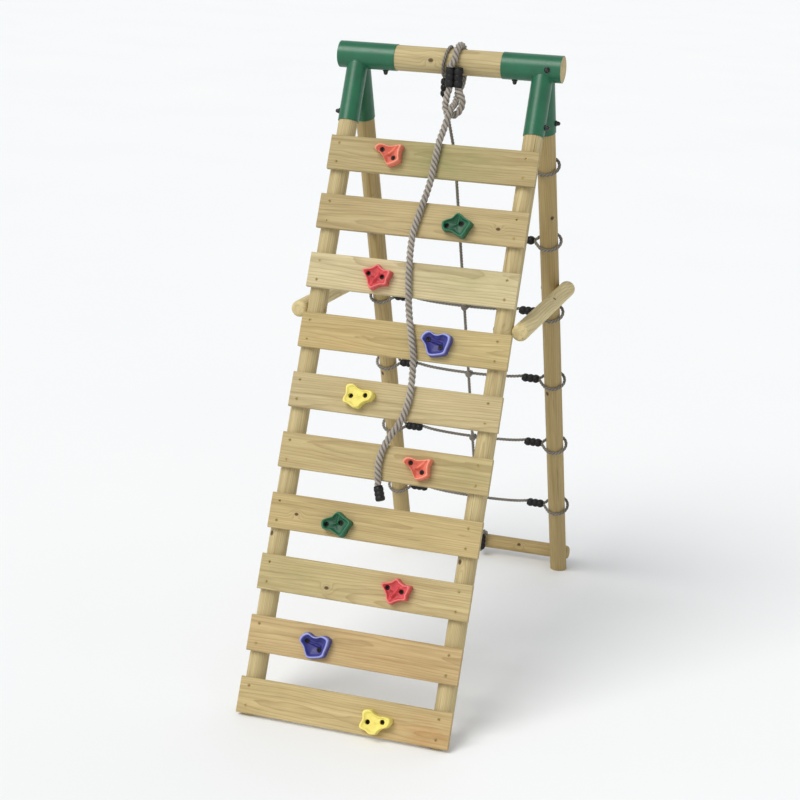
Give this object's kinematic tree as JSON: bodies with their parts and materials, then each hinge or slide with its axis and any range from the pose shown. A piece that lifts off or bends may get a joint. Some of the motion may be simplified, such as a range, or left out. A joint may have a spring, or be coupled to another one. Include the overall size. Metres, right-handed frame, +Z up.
{
  "type": "rock climbing wall",
  "caption": "Garden climbing wall of round wooden legs and slats with coloured plastic holds, a climbing rope down its face and a rope scramble net behind, joined by steel beam brackets.",
  "frame": {"origin": "middle of the object's box on the ground", "axes": "+Z up, +X along the beam to the right as seen from the wall's side, -Y the side of the climbing wall, +Y the side of the net"},
  "size_m": [0.811, 1.7969, 2.0973],
  "materials": {
    "beam_wood": "rough",
    "front_leg_wood": "rough",
    "rear_leg_wood": "rough",
    "board_wood": "rough",
    "rail_wood": "rough",
    "green_paint": "satin",
    "screw_caps": "gloss",
    "screw_steel": "satin",
    "bolt_steel": "satin",
    "hold_salmon": "satin",
    "hold_green": "satin",
    "hold_red": "satin",
    "hold_blue": "satin",
    "hold_yellow": "satin",
    "clamp_plastic": "matte",
    "net_fibre": "matte",
    "rope_fibre": "matte"
  },
  "bodies": {
    "frame": {"beam": "beam_wood", "board_01": "board_wood", "board_02": "board_wood", "board_03": "board_wood", "board_04": "board_wood", "board_05": "board_wood", "board_06": "board_wood", "board_07": "board_wood", "board_08": "board_wood", "board_09": "board_wood", "board_10": "board_wood", "board_screws": "screw_steel", "bracket_left": "green_paint", "bracket_right": "green_paint", "bracket_screws": "screw_caps", "front_leg_left": "front_leg_wood", "front_leg_right": "front_leg_wood", "hold_01": "hold_salmon", "hold_02": "hold_green", "hold_03": "hold_red", "hold_04": "hold_blue", "hold_05": "hold_yellow", "hold_06": "hold_salmon", "hold_07": "hold_green", "hold_08": "hold_red", "hold_09": "hold_blue", "hold_10": "hold_yellow", "hold_bolts": "bolt_steel", "net_clamp_bottom": "clamp_plastic", "net_clamp_top": "clamp_plastic", "net_clamps_left": "clamp_plastic", "net_clamps_right": "clamp_plastic", "net_knots": "net_fibre", "net_rope_1": "net_fibre", "net_rope_2": "net_fibre", "net_rope_3": "net_fibre", "net_rope_4": "net_fibre", "net_rope_5": "net_fibre", "net_rope_6": "net_fibre", "net_rope_upright": "net_fibre", "rail_bolts": "screw_steel", "rear_leg_left": "rear_leg_wood", "rear_leg_right": "rear_leg_wood", "rear_rail": "rail_wood", "side_rail_left": "rail_wood", "side_rail_right": "rail_wood"},
    "hanging_rope": {"climbing_rope": "rope_fibre", "climbing_rope_noose": "rope_fibre", "noose_clamp": "clamp_plastic", "rope_end_clamp": "clamp_plastic"}
  },
  "joints": [
    {"name": "rope_swing", "type": "hinge", "parent": "frame", "child": "hanging_rope", "pos_m": [0, 0.04416, 2.03], "axis": [-1, 0, 0], "range_deg": [0, 28]}
  ]
}
